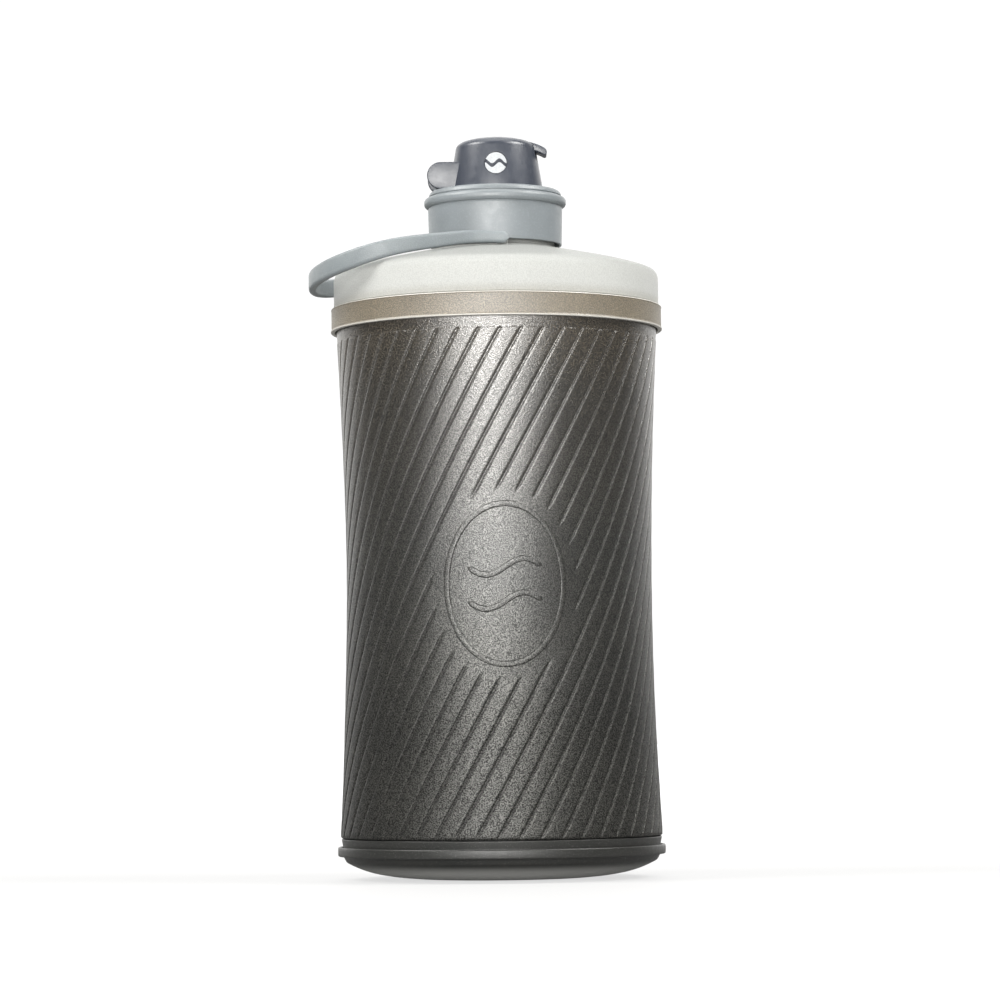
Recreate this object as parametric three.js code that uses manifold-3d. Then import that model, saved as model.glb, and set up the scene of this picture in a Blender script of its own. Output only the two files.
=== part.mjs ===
// Folding water bottle with a screw cap, a flip lid and a carry strap.
// Millimetres, +Z up. The origin is the middle of the flat underside of the base.
// The lid's hinge and the strap lie towards -X, and the lid's thumb tab points to +X.
import * as THREE from "three";
import { mergeVertices } from "three/addons/utils/BufferGeometryUtils.js";
import Module from "manifold-3d";

// Overall
const ROUND = 48; // facets round every large turned piece
const ROUND_SMALL = 32; // facets round the spout and its plug
const GAP = 0.3; // assembly gap between neighbouring pieces

// Collapsible wall: a waisted tube
const WALL_THICK = 1.2;
const WALL_BOTTOM = 13.7;
const WALL_TOP = 185.4;
const WALL_TOP_R = 53.55;
const WAIST_R = 50.7;
const WAIST_Z = 97;
const WAIST_SPAN = 73; // height from the waist to where the wall has widened by WAIST_RISE
const WAIST_RISE = 2.1;
const WAIST_POWER = 1.8;

// Base
const BASE_R = 53.2;
const BASE_FLAT_R = 28;
const BASE_FLOOR = 2.0;
const SPIGOT_R = 51.6; // the base's upstand inside the wall
const SPIGOT_TOP = 18;
const FOOT_R = 54.4;
const FOOT_Z = [7.6, 10.7];

// Weld band and shoulder
const BAND_R = 55.25;
const BAND_Z = [181.8, 189.6];
const SHOULDER_R = 54.3;
const SHOULDER_THICK = 1.8;
const SHOULDER_EDGE_Z = 199.5;

// Neck and cap thread: right-handed, one start
const NECK_R = 19.7;
const NECK_BORE_R = 18.0;
const NECK_ROOT_Z = 209.4;
const NECK_TOP = 225.6;
const THREAD_PITCH = 5.0;
const THREAD_Z = 212.2;
const THREAD_STEPS = 30; // facets in one turn of thread
const RIDGE_ROOT_WIDTH = 1.7;
const RIDGE_CREST_WIDTH = 0.9;
const NECK_CREST_R = 20.8;
const CAP_CREST_R = 20.1;

// Cap
const CAP_SKIRT_R = [22.2, 22.5]; // at the bottom, under the bead
const CAP_INNER_R = 21.2;
const CAP_BOTTOM = 210.7;
const BEAD_R = 23.8;
const BEAD_Z = [223.8, 226.9];
const DECK_TOP = 229.1;
const DECK_BOTTOM = 227.7;
const DECK_R = 21.4;

// Drinking spout, a little off the axis with the lid
const LID_X = 0.4;
const SPOUT_R = 8.2;
const SPOUT_BORE_R = 6.3;
const SPOUT_BOTTOM = 224.7;
const SPOUT_TOP = 239.6;
const BARB_R = 10; // lip under the deck that holds the spout in
const SPOUT_FLANGE_R = 10.5;

// Flip lid and its hinge, whose axis runs along Y
const LID_BOTTOM = 229.4;
const LID_R = [15.8, 13.3]; // at the bottom, under the rounded top
const LID_SIDE_TOP = 244.0;
const LID_CROWN = 246.2;
const LID_THICK = 1.6;
const HINGE_X = -18.1;
const HINGE_Z = 233.9;
const EAR_R = 4.5;
const EAR_Y = [5.0, 7.6];
const PIN_R = 1.0;
const PIN_HOLE_R = 1.35;
const KNUCKLE_R = 2.3;
const TAB_HALF_WIDTH = 4.5;
const BADGE_R = 3.6;
const BADGE_Z = 236.9;

// Carry strap: a flat band bent into a loop, hung on two pegs beside the neck
const STRAP_THICK = 2.7;
const STRAP_SIDE_Y = 26.55; // middle of an arm at the peg
const PEG_X = 2.5;
const PEG_Z = 210.4;
const LUG_Y = [23.3, 24.9];
const STRAP_ROUTE = [
  [4.3, STRAP_SIDE_Y, 210.4],
  [-8, 27.9, 210.5],
  [-20, 32.6, 208.8],
  [-31, 36.7, 206.8],
  [-38, 37.9, 205.1],
  [-46, 35.6, 202.9],
  [-54, 28.6, 200.7],
  [-59.4, 16.5, 199.2],
  [-61.3, 0, 198.7],
];
const STRAP_STEPS = 56;

// Looks, one entry for each material
const LOOKS = {
  wall: [0x6f6a63, 0.5],
  base: [0x4d4b48, 0.5],
  band: [0xb3a797, 0.45],
  shoulder: [0xdfe2dd, 0.5],
  cap: [0xa3abae, 0.45],
  strap: [0x8b9194, 0.6],
  lid: [0x4c515d, 0.4],
  silicone: [0xd4d7d8, 0.6],
  badge: [0xe6e8ea, 0.35],
};

const wasm = await Module();
wasm.setup();
const bottle = new THREE.Group();

// Adds one named piece to the bottle.
function addPiece(name, look, solid) {
  const [color, roughness] = LOOKS[look];
  const material = new THREE.MeshStandardMaterial({ color, roughness, metalness: 0 });
  const mesh = new THREE.Mesh(toGeometry(solid), material);
  mesh.name = name;
  bottle.add(mesh);
}

function toSolid(geometry) {
  const bare = geometry.clone();
  bare.deleteAttribute("normal");
  bare.deleteAttribute("uv");
  const merged = mergeVertices(bare, 1e-4);
  return new wasm.Manifold(
    new wasm.Mesh({
      numProp: 3,
      vertProperties: new Float32Array(merged.attributes.position.array),
      triVerts: new Uint32Array(merged.index.array),
    }),
  );
}

function toGeometry(solid) {
  const { vertProperties, triVerts } = solid.getMesh();
  return new THREE.BufferGeometry()
    .setAttribute("position", new THREE.BufferAttribute(vertProperties, 3))
    .setIndex(new THREE.BufferAttribute(triVerts, 1));
}

// Turns a closed outline of [radius, z] points about a vertical axis at x.
function turned(outline, segments = ROUND, x = 0) {
  const closed = outline.map(([r, z]) => new THREE.Vector2(r, z));
  if (!THREE.ShapeUtils.isClockWise(closed)) closed.push(closed[0].clone());
  else closed.reverse().push(closed[0].clone());
  const geometry = new THREE.LatheGeometry(closed, segments);
  return toSolid(geometry.rotateX(Math.PI / 2).translate(x, 0, 0));
}

// A cylinder along Y, between two y values.
function crossCylinder(r, x, z, [y0, y1], segments = 16) {
  const geometry = new THREE.CylinderGeometry(r, r, y1 - y0, segments);
  return toSolid(geometry.translate(x, (y0 + y1) / 2, z));
}

function block([x0, x1], [y0, y1], [z0, z1]) {
  const geometry = new THREE.BoxGeometry(x1 - x0, y1 - y0, z1 - z0);
  return toSolid(geometry.translate((x0 + x1) / 2, (y0 + y1) / 2, (z0 + z1) / 2));
}

// A closed skin over a row of rings that all have the same number of points, faces outwards.
function skinned(rings) {
  const sides = rings[0].length;
  const corners = rings.flat(2);
  const faces = [];
  for (let i = 0; i + 1 < rings.length; i++) {
    for (let j = 0; j < sides; j++) {
      const a = i * sides + j;
      const b = i * sides + ((j + 1) % sides);
      faces.push(a, b, b + sides, a, b + sides, a + sides);
    }
  }
  const last = (rings.length - 1) * sides;
  for (let j = 1; j + 1 < sides; j++) {
    faces.push(0, j + 1, j, last, last + j, last + j + 1);
  }
  const geometry = new THREE.BufferGeometry();
  geometry.setAttribute("position", new THREE.Float32BufferAttribute(corners, 3));
  const solid = toSolid(geometry.setIndex(faces));
  return solid.volume() > 0 ? solid : toSolid(geometry.setIndex(faces.reverse()));
}

// A helical ridge from rootR to crestR, starting at height z on the +X side.
function threadRidge(rootR, crestR, z, turns) {
  const steps = Math.round(turns * THREAD_STEPS);
  const root = RIDGE_ROOT_WIDTH / 2;
  const crest = RIDGE_CREST_WIDTH / 2;
  const section = [[rootR, -root], [crestR, -crest], [crestR, crest], [rootR, root]];
  const rings = [];
  for (let i = 0; i <= steps; i++) {
    const angle = (i / THREAD_STEPS) * 2 * Math.PI;
    const rise = z + (i / THREAD_STEPS) * THREAD_PITCH;
    rings.push(section.map(([r, dz]) => [r * Math.cos(angle), r * Math.sin(angle), rise + dz]));
  }
  return skinned(rings);
}

function wallRadius(z) {
  const reach = Math.abs(z - WAIST_Z) / WAIST_SPAN;
  return Math.min(WALL_TOP_R, WAIST_R + WAIST_RISE * reach ** WAIST_POWER);
}

function bodyWall() {
  const levels = 12;
  const outside = [];
  for (let i = 0; i <= levels; i++) {
    const z = THREE.MathUtils.lerp(WALL_BOTTOM, WALL_TOP, i / levels);
    outside.push([wallRadius(z), z]);
  }
  const inside = outside.map(([r, z]) => [r - WALL_THICK, z]).reverse();
  addPiece("body_wall", "wall", turned([...outside, ...inside]));
}

function base() {
  const rim = WALL_BOTTOM - GAP;
  const outside = [
    [0, 0], [BASE_FLAT_R, 0], [36, 0.7], [42.5, 1.9], [46.3, 3.1],
    [49.3, 4.4], [51.5, 5.3], [BASE_R, 7.3], [BASE_R, rim], [SPIGOT_R, rim],
  ];
  const inside = [
    [SPIGOT_R, SPIGOT_TOP], [SPIGOT_R - 1.2, SPIGOT_TOP], [SPIGOT_R - 1.2, 8.4],
    [48.4, 6.4], [42, 3.9], [BASE_FLAT_R, BASE_FLOOR], [0, BASE_FLOOR],
  ];
  addPiece("base_pan", "base", turned([...outside, ...inside]));

  const [low, high] = FOOT_Z;
  const footInner = BASE_R + GAP;
  const foot = [
    [footInner, low], [FOOT_R - 0.4, low], [FOOT_R, low + 0.5],
    [FOOT_R, high - 0.5], [FOOT_R - 0.4, high], [footInner, high],
  ];
  addPiece("foot_ring", "base", turned(foot));
}

function weldBand() {
  const [low, high] = BAND_Z;
  const inner = WALL_TOP_R + 0.4;
  const outline = [
    [inner, low], [BAND_R - 0.4, low], [BAND_R, low + 0.4],
    [BAND_R, high - 0.5], [BAND_R - 0.5, high], [inner, high],
  ];
  addPiece("weld_band", "band", turned(outline));
}

// The rigid top of the bottle: side, sloping top, threaded neck and two strap lugs.
function shoulder() {
  const seat = BAND_Z[1] + GAP;
  const outside = [
    [WALL_TOP_R, WALL_TOP + GAP], [WALL_TOP_R, seat], [SHOULDER_R, seat],
    [SHOULDER_R, SHOULDER_EDGE_Z], [53.8, 200.9], [52.6, 201.7], [49.4, 202.8],
    [43.5, 204.4], [30, 207.4], [NECK_R + 1.2, NECK_ROOT_Z - 0.2], [NECK_R, NECK_ROOT_Z + 0.8],
    [NECK_R, NECK_TOP - 0.4], [NECK_R - 0.4, NECK_TOP],
  ];
  const inner = SHOULDER_R - SHOULDER_THICK;
  const inside = [
    [NECK_BORE_R, NECK_TOP], [NECK_BORE_R, NECK_ROOT_Z - 1.6], [30, 205.6], [43.5, 202.6],
    [48.6, 201.2], [51.4, 200.1], [inner, 198.6], [inner, 190.6], [WALL_TOP_R - 1.4, seat],
    [WALL_TOP_R - 1.4, WALL_TOP + GAP],
  ];
  let solid = turned([...outside, ...inside]);
  solid = solid.add(threadRidge(NECK_R - 0.3, NECK_CREST_R, THREAD_Z, 2));
  for (const side of [-1, 1]) {
    const span = LUG_Y.map((y) => side * y).sort((a, b) => a - b);
    const lug = block([PEG_X - 2.2, PEG_X + 2.2], span, [207.9, PEG_Z + 1.9]);
    solid = solid.add(lug.subtract(crossCylinder(PIN_HOLE_R, PEG_X, PEG_Z, span)));
  }
  addPiece("shoulder", "shoulder", solid);
}

function strapPegs() {
  const [near, far] = [LUG_Y[0] + 0.2, STRAP_SIDE_Y + 0.7];
  addPiece("strap_peg_front", "strap", crossCylinder(PIN_R, PEG_X, PEG_Z, [-far, -near]));
  addPiece("strap_peg_rear", "strap", crossCylinder(PIN_R, PEG_X, PEG_Z, [near, far]));
}

// Height of the strap's band at x: slim at the pegs, broad round the far end.
function strapHeight(x) {
  const arm = THREE.MathUtils.mapLinear(THREE.MathUtils.clamp(x, -45, 0), 0, -45, 3.9, 6.3);
  const tip = THREE.MathUtils.clamp((PEG_X + 1.9 - x) / 1.9, 0, 1);
  return arm * Math.sqrt(Math.max(0.06, 1 - (1 - tip) ** 2));
}

function carryStrap() {
  const front = STRAP_ROUTE.map(([x, y, z]) => new THREE.Vector3(x, -y, z));
  const rear = STRAP_ROUTE.slice(0, -1).reverse().map((p) => new THREE.Vector3(...p));
  const route = new THREE.CatmullRomCurve3([...front, ...rear], false, "centripetal");
  const half = STRAP_THICK / 2;
  const soft = 0.7; // chamfer on the band's edges
  const rings = [];
  for (let i = 0; i <= STRAP_STEPS; i++) {
    const middle = route.getPointAt(i / STRAP_STEPS);
    const along = route.getTangentAt(i / STRAP_STEPS).setZ(0).normalize();
    const across = new THREE.Vector3(along.y, -along.x, 0);
    const tall = strapHeight(middle.x) / 2;
    const edge = Math.min(soft, tall / 2);
    const section = [
      [half, -tall + edge], [half, tall - edge], [half - soft, tall], [-half + soft, tall],
      [-half, tall - edge], [-half, -tall + edge], [-half + soft, -tall], [half - soft, -tall],
    ];
    rings.push(section.map(([out, up]) => [
      middle.x + across.x * out, middle.y + across.y * out, middle.z + up,
    ]));
  }
  let strap = skinned(rings);
  const [near, far] = [STRAP_SIDE_Y - STRAP_THICK, STRAP_SIDE_Y + 1.0];
  strap = strap.subtract(crossCylinder(PIN_HOLE_R, PEG_X, PEG_Z, [-far, -near]));
  strap = strap.subtract(crossCylinder(PIN_HOLE_R, PEG_X, PEG_Z, [near, far]));
  addPiece("carry_strap", "strap", strap);
}

function capGasket() {
  const [low, high] = [NECK_TOP + GAP, DECK_BOTTOM - GAP];
  const [inner, outer] = [NECK_BORE_R + 0.2, CAP_INNER_R - GAP];
  addPiece("cap_gasket", "silicone", turned([[inner, low], [outer, low], [outer, high], [inner, high]]));
}

// Skirt, bead and deck in one moulding, with its thread and the lid's hinge knuckle.
function capShell() {
  const [low, high] = BEAD_Z;
  const outline = [
    [0, DECK_BOTTOM], [CAP_INNER_R, DECK_BOTTOM], [CAP_INNER_R, CAP_BOTTOM + 0.4],
    [CAP_INNER_R + 0.2, CAP_BOTTOM], [CAP_SKIRT_R[0] - 0.2, CAP_BOTTOM],
    [CAP_SKIRT_R[0], CAP_BOTTOM + 0.3], [CAP_SKIRT_R[1], low - 0.4], [BEAD_R - 0.6, low],
    [BEAD_R, low + 0.9], [BEAD_R, high - 1.1], [BEAD_R - 0.6, high - 0.3], [DECK_R + 0.8, high + 0.1],
    [DECK_R + 0.5, DECK_TOP - 0.7], [DECK_R, DECK_TOP], [0, DECK_TOP],
  ];
  const hole = turned([[0, 222], [SPOUT_R + GAP, 222], [SPOUT_R + GAP, 232], [0, 232]], ROUND_SMALL, LID_X);
  let solid = turned(outline).subtract(hole);
  const start = THREAD_Z + THREAD_PITCH / 2;
  solid = solid.add(threadRidge(CAP_INNER_R + 0.3, CAP_CREST_R, start, 1.5));
  const across = [-EAR_Y[0] + GAP, EAR_Y[0] - GAP];
  const post = block([HINGE_X - KNUCKLE_R, HINGE_X + KNUCKLE_R], across, [DECK_TOP - 0.7, HINGE_Z]);
  solid = solid.add(post).add(crossCylinder(KNUCKLE_R, HINGE_X, HINGE_Z, across));
  addPiece("cap_shell", "cap", solid.subtract(crossCylinder(PIN_HOLE_R, HINGE_X, HINGE_Z, across)));
}

// The spout drops through the deck from above and snaps over its seal below.
function drinkingSpout() {
  const outline = [
    [SPOUT_BORE_R, SPOUT_BOTTOM], [BARB_R, SPOUT_BOTTOM], [BARB_R, SPOUT_BOTTOM + 1],
    [SPOUT_R, SPOUT_BOTTOM + 1], [SPOUT_R, DECK_TOP + GAP], [SPOUT_FLANGE_R, DECK_TOP + GAP],
    [SPOUT_FLANGE_R, DECK_TOP + 1.1], [SPOUT_R, DECK_TOP + 1.6], [SPOUT_R, SPOUT_TOP - 1.9],
    [SPOUT_R + 0.3, SPOUT_TOP - 1.1], [SPOUT_R - 0.2, SPOUT_TOP],
    [SPOUT_BORE_R + 0.4, SPOUT_TOP], [SPOUT_BORE_R, SPOUT_TOP - 0.5],
  ];
  addPiece("drinking_spout", "cap", turned(outline, ROUND_SMALL, LID_X));
  const [inner, outer] = [SPOUT_R + GAP, BARB_R + 0.2];
  const [low, high] = [SPOUT_BOTTOM + 1 + GAP, DECK_BOTTOM - GAP];
  const seal = [[inner, low], [outer, low], [outer, high], [inner, high]];
  addPiece("spout_seal", "silicone", turned(seal, ROUND_SMALL, LID_X));
}

function hingePin() {
  const reach = EAR_Y[1] - 0.6;
  addPiece("hinge_pin", "cap", crossCylinder(PIN_R, HINGE_X, HINGE_Z, [-reach, reach]));
}

// A solid cone that follows the lid's side, moved outwards by offset.
function lidCone(offset) {
  const [low, high] = [LID_BOTTOM - 1, LID_SIDE_TOP];
  const slope = (LID_R[0] - LID_R[1]) / (LID_SIDE_TOP - LID_BOTTOM);
  const bottom = LID_R[0] + slope + offset;
  return turned([[0, low], [bottom, low], [LID_R[1] + offset, high], [0, high]], ROUND, LID_X);
}

function thumbTab() {
  const outline = [
    [11.2, -3.8], [13.4, -4.4], [16.5, -4.9], [17.3, -4.5], [17.5, -3.7], [17.1, -3.0], [12.8, -1.4], [11.2, -1.4],
  ];
  const shape = new THREE.Shape(outline.map(([x, drop]) => new THREE.Vector2(x, LID_CROWN + drop)));
  const geometry = new THREE.ExtrudeGeometry(shape, { depth: 2 * TAB_HALF_WIDTH, bevelEnabled: false });
  return toSolid(geometry.rotateX(Math.PI / 2).translate(0, TAB_HALF_WIDTH, 0));
}

// One hinge ear: a round cheek with a blind pin hole, joined to the lid's side.
function hingeEar(side) {
  const span = EAR_Y.map((y) => side * y).sort((a, b) => a - b);
  const cheek = crossCylinder(EAR_R, HINGE_X, HINGE_Z, span, ROUND_SMALL);
  const web = block([HINGE_X, -11.2], span, [HINGE_Z - EAR_R, HINGE_Z + EAR_R]);
  const hole = [EAR_Y[0] - 1, EAR_Y[1] - GAP].map((y) => side * y).sort((a, b) => a - b);
  return cheek.add(web).subtract(crossCylinder(PIN_HOLE_R, HINGE_X, HINGE_Z, hole));
}

function flipLid() {
  const [low, high] = LID_R;
  const outline = [
    [low - LID_THICK, LID_BOTTOM], [low, LID_BOTTOM], [high, LID_SIDE_TOP], [high - 0.7, LID_SIDE_TOP + 0.9],
    [high - 4, LID_CROWN - 0.5], [0, LID_CROWN], [0, LID_CROWN - LID_THICK - 0.1],
    [8, LID_CROWN - 2], [high - 2.6, LID_SIDE_TOP - 0.2], [high - LID_THICK + 0.1, LID_SIDE_TOP - 1.2],
  ];
  const recess = crossCylinder(BADGE_R + GAP, LID_X, BADGE_Z, [-20, 0], ROUND_SMALL).subtract(lidCone(-0.8));
  const lid = turned(outline, ROUND, LID_X).add(thumbTab()).add(hingeEar(-1)).add(hingeEar(1));
  addPiece("flip_lid", "lid", lid.subtract(recess));
}

// A plain round inlay, flush with the front of the lid.
function lidBadge() {
  const disc = crossCylinder(BADGE_R, LID_X, BADGE_Z, [-20, 0], ROUND_SMALL);
  addPiece("lid_badge", "badge", disc.intersect(lidCone(0.1)).subtract(lidCone(-0.5)));
}

// The soft plug under the lid. Its nose tapers so that it swings clear of the spout.
function lidPlug() {
  const outline = [
    [0, -1.5], [5.0, -1.5], [5.9, 0.3], [7.2, 0.6], [7.2, 2.4], [9, 2.6], [9, 3.9], [0, 4.0],
  ];
  const placed = outline.map(([r, rise]) => [r, SPOUT_TOP + rise]);
  addPiece("lid_plug", "silicone", turned(placed, ROUND_SMALL, LID_X));
}

base();
bodyWall();
weldBand();
shoulder();
strapPegs();
carryStrap();
capGasket();
capShell();
drinkingSpout();
hingePin();
flipLid();
lidPlug();
lidBadge();

export default bottle;
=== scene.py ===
"""Looks for the folding water bottle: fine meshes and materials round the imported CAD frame."""
import math

import bmesh
import bpy
import numpy as np
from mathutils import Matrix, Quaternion, Vector


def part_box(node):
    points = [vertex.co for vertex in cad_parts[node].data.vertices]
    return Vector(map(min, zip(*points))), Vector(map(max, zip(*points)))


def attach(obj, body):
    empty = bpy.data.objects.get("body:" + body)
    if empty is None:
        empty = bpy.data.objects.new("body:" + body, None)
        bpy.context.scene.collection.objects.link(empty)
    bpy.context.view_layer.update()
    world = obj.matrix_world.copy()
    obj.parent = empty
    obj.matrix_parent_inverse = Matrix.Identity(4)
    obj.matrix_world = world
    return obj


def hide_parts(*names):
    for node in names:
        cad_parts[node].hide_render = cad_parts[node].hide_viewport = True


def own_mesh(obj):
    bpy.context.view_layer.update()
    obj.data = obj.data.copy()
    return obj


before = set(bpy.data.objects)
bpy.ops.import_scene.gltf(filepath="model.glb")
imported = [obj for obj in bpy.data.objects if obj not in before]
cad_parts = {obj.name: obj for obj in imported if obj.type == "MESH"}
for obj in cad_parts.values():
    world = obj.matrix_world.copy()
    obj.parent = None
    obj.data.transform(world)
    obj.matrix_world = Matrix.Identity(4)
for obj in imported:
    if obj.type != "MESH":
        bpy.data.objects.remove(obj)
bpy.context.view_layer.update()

MM = 0.001
ROUND = 192  # facets round a large turned piece
ROUND_SMALL = 96

# Wall, in mm
WALL_THICK = 1.2
WALL_TOP_R = 53.55
WAIST_R = 50.7
WAIST_Z = 97
WAIST_SPAN = 73
WAIST_RISE = 2.1
WAIST_POWER = 1.8

# Spiral pleats
PLEATS = 48
PLEAT_LEAN = 0.61  # degrees round the bottle for each mm of height
PLEAT_START = -1.8  # degrees from the front, at PLEAT_START_Z
PLEAT_START_Z = 173
PLEAT_TOP = 178.3
PLEAT_BOTTOM = 14.6
GROOVE_DEPTH = 0.4
GROOVE_FLAT = 0.26  # half width of a groove's floor
GROOVE_REACH = 0.52  # half width of a groove at its lips
PANEL_CROWN = 0.07
PANEL_RAISE = 0.07

# Emblem: a raised oval ring with two waves
EMBLEM_TURN = 2.3  # degrees from the front
EMBLEM_Z = 95.6
EMBLEM_HALF = (19.2, 25.8)
EMBLEM_CLEAR = (24.0, 30.5)
EMBLEM_LINE = 1.9
EMBLEM_HEIGHT = 0.42
WAVE_REACH = 12.2
WAVE_RISE = 2.6
WAVE_LEVEL = 5.5

# Neck and threads
THREAD_PITCH = 5.0
THREAD_Z = 212.2

# Cap, lid and hinge
LID_X = 0.4
LID_Z = (229.4, 244.0)
LID_R = (15.8, 13.3)
DECK_TOP = 229.1
HINGE = (-18.1, 233.9)
EAR_R = 4.5
EAR_Y = (5.0, 7.6)
KNUCKLE_R = 2.3
TAB_HALF_WIDTH = 3.8
BADGE_R = 3.6
BADGE_Z = 236.9

# Strap
STRAP_THICK = 2.7
STRAP_SIDE_Y = 26.55
PEG = (2.5, 210.4)
STRAP_ROUTE = [
    (4.3, STRAP_SIDE_Y, 210.4),
    (-8, 27.9, 210.5),
    (-20, 32.6, 208.8),
    (-31, 36.7, 206.8),
    (-38, 37.9, 205.1),
    (-46, 35.6, 202.9),
    (-54, 28.6, 200.7),
    (-59.4, 16.5, 199.2),
    (-61.3, 0, 198.7),
]
STRAP_STEPS = 220

# Camera, in metres and degrees
CAMERA_PLACE = (0.0006, -1.3, 0.0456)
CAMERA_PITCH = 3.52
CAMERA_ROLL = -0.62
CAMERA_LENS = 140.4
CAMERA_SENSOR = 36

# Light, in metres: each softbox has a name, a place, a size and its watts
LIGHT_COLOUR = (1.0, 0.99, 0.965)
LIGHT_AIM = (0, 0, 0.15)
SOFTBOXES = [
    ("key_softbox", (-0.18, -1.75, 0.38), (0.65, 0.8), 11),
    ("wide_softbox", (-0.2, -1.95, 0.44), (2.6, 0.9), 34),
    ("left_softbox", (-1.2, -0.3, 1.5), (0.9, 0.9), 28),
    ("top_softbox", (0, 0.3, 1.7), (1.0, 1.0), 6),
    ("right_softbox", (1.2, -0.3, 1.5), (0.9, 0.9), 30),
]
STUDIO_TURN = (0.4, 0.85)  # how far backwards the studio starts and ends its rise to white
STUDIO_STRENGTH = (0.05, 1.5)  # in front and behind
STUDIO_COLOUR = (1, 0.995, 0.98)
STUDIO_SEEN = 1.05  # as the camera sees it

# Floor, in metres
FLOOR_HALF = 30
FLOOR_DROP = 0.0002
FLOOR_TONE = 0.2
FLOOR_FADE = (0.35, 1.4)
FLOOR_GLOW = (0.60, 1.1)  # as the camera sees it, at the two ends of the fade
FLOOR_SPILL = 0.05  # what it gives off to everything

# Materials
GRAIN = (2700, 0.6, 0.5)  # noise scale, detail and roughness of the sandy grain
GRAIN_DEPTH = 0.0003
WALL_SPAN = (0.014, 0.186)
WALL_ROUGH = 0.30
WALL_SPEC = 1.0
WALL_BUMP = 0.35
WALL_IOR = 1.9
SHOULDER_CLEAR = 0.15
BADGE_WAVE = 1300  # radians for each metre across
BADGE_SWING = 0.0008
BADGE_LINE = 0.0006  # half width


# ---------------------------------------------------------------- node trees


def set_range(node, low, high, to_low, to_high):
    for name, value in zip(("From Min", "From Max", "To Min", "To Max"), (low, high, to_low, to_high)):
        node.inputs[name].default_value = value


class Nodes:
    """A short way to write a material's node tree."""

    def __init__(self, name):
        self.material = bpy.data.materials.new(name)
        self.material.use_nodes = True
        self.tree = self.material.node_tree
        self.shader = self.tree.nodes["Principled BSDF"]
        self.coords = self.tree.nodes.new("ShaderNodeTexCoord").outputs["Object"]

    def link(self, source, target):
        self.tree.links.new(source, target)

    def noise(self, scale, detail=2.0, roughness=0.5, stretch=None):
        node = self.tree.nodes.new("ShaderNodeTexNoise")
        node.inputs["Scale"].default_value = scale
        node.inputs["Detail"].default_value = detail
        node.inputs["Roughness"].default_value = roughness
        place = self.coords
        if stretch:
            mapping = self.tree.nodes.new("ShaderNodeMapping")
            mapping.inputs["Scale"].default_value = stretch
            self.link(self.coords, mapping.inputs["Vector"])
            place = mapping.outputs["Vector"]
        self.link(place, node.inputs["Vector"])
        return node.outputs["Fac"]

    def ramp(self, source, stops):
        """Colours, as (place, colour) pairs, picked by a value from 0 to 1."""
        node = self.tree.nodes.new("ShaderNodeValToRGB")
        elements = node.color_ramp.elements
        while len(elements) < len(stops):
            elements.new(0.5)
        for element, (place, colour) in zip(elements, stops):
            element.position = place
            element.color = (*colour, 1)
        self.link(source, node.inputs["Fac"])
        return node.outputs["Color"]

    def spread(self, source, low, high, to_low, to_high, smooth=False):
        node = self.tree.nodes.new("ShaderNodeMapRange")
        node.interpolation_type = "SMOOTHSTEP" if smooth else "LINEAR"
        set_range(node, low, high, to_low, to_high)
        self.link(source, node.inputs["Value"])
        return node.outputs["Result"]

    def mix(self, factor, a, b, blend="MIX"):
        node = self.tree.nodes.new("ShaderNodeMix")
        node.data_type = "RGBA"
        node.blend_type = blend
        sockets = [s for s in node.inputs if s.enabled]
        for socket, value in zip(sockets, (factor, a, b)):
            if isinstance(value, bpy.types.NodeSocket):
                self.link(value, socket)
            else:
                socket.default_value = (*value, 1) if isinstance(value, tuple) else value
        return [s for s in node.outputs if s.enabled][0]

    def math(self, operation, a, b=0.0):
        node = self.tree.nodes.new("ShaderNodeMath")
        node.operation = operation
        for socket, value in zip(node.inputs, (a, b)):
            if isinstance(value, bpy.types.NodeSocket):
                self.link(value, socket)
            else:
                socket.default_value = value
        return node.outputs[0]

    def axis(self, name):
        node = self.tree.nodes.new("ShaderNodeSeparateXYZ")
        self.link(self.coords, node.inputs[0])
        return node.outputs[name]

    def bumps(self, *layers):
        """Bump from (height, strength, distance) layers, laid one on the other."""
        normal = None
        for height, strength, distance in layers:
            node = self.tree.nodes.new("ShaderNodeBump")
            node.inputs["Strength"].default_value = strength
            node.inputs["Distance"].default_value = distance
            self.link(height, node.inputs["Height"])
            if normal:
                self.link(normal, node.inputs["Normal"])
            normal = node.outputs["Normal"]
        self.link(normal, self.shader.inputs["Normal"])

    def feed(self, name, source):
        self.link(source, self.shader.inputs[name])

    def set(self, **values):
        """Sets values that are the same all over the surface."""
        names = {"specular": "Specular IOR Level", "transmission": "Transmission Weight", "ior": "IOR"}
        for key, value in values.items():
            self.shader.inputs[names[key]].default_value = value


# ---------------------------------------------------------------- camera, light and stage


def add_camera():
    """A long lens a little above the floor, tipped up, in front of the bottle."""
    data = bpy.data.cameras.new("camera")
    data.lens = CAMERA_LENS
    data.sensor_width = CAMERA_SENSOR
    data.clip_start = 0.05
    camera = bpy.data.objects.new("camera", data)
    bpy.context.scene.collection.objects.link(camera)
    pitch = math.radians(CAMERA_PITCH)
    roll = math.radians(CAMERA_ROLL)
    aim = Vector((0, math.cos(pitch), math.sin(pitch)))
    camera.location = CAMERA_PLACE
    camera.rotation_mode = "QUATERNION"
    camera.rotation_quaternion = aim.to_track_quat("-Z", "Y") @ Quaternion((0, 0, 1), roll)
    bpy.context.scene.camera = camera


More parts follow.
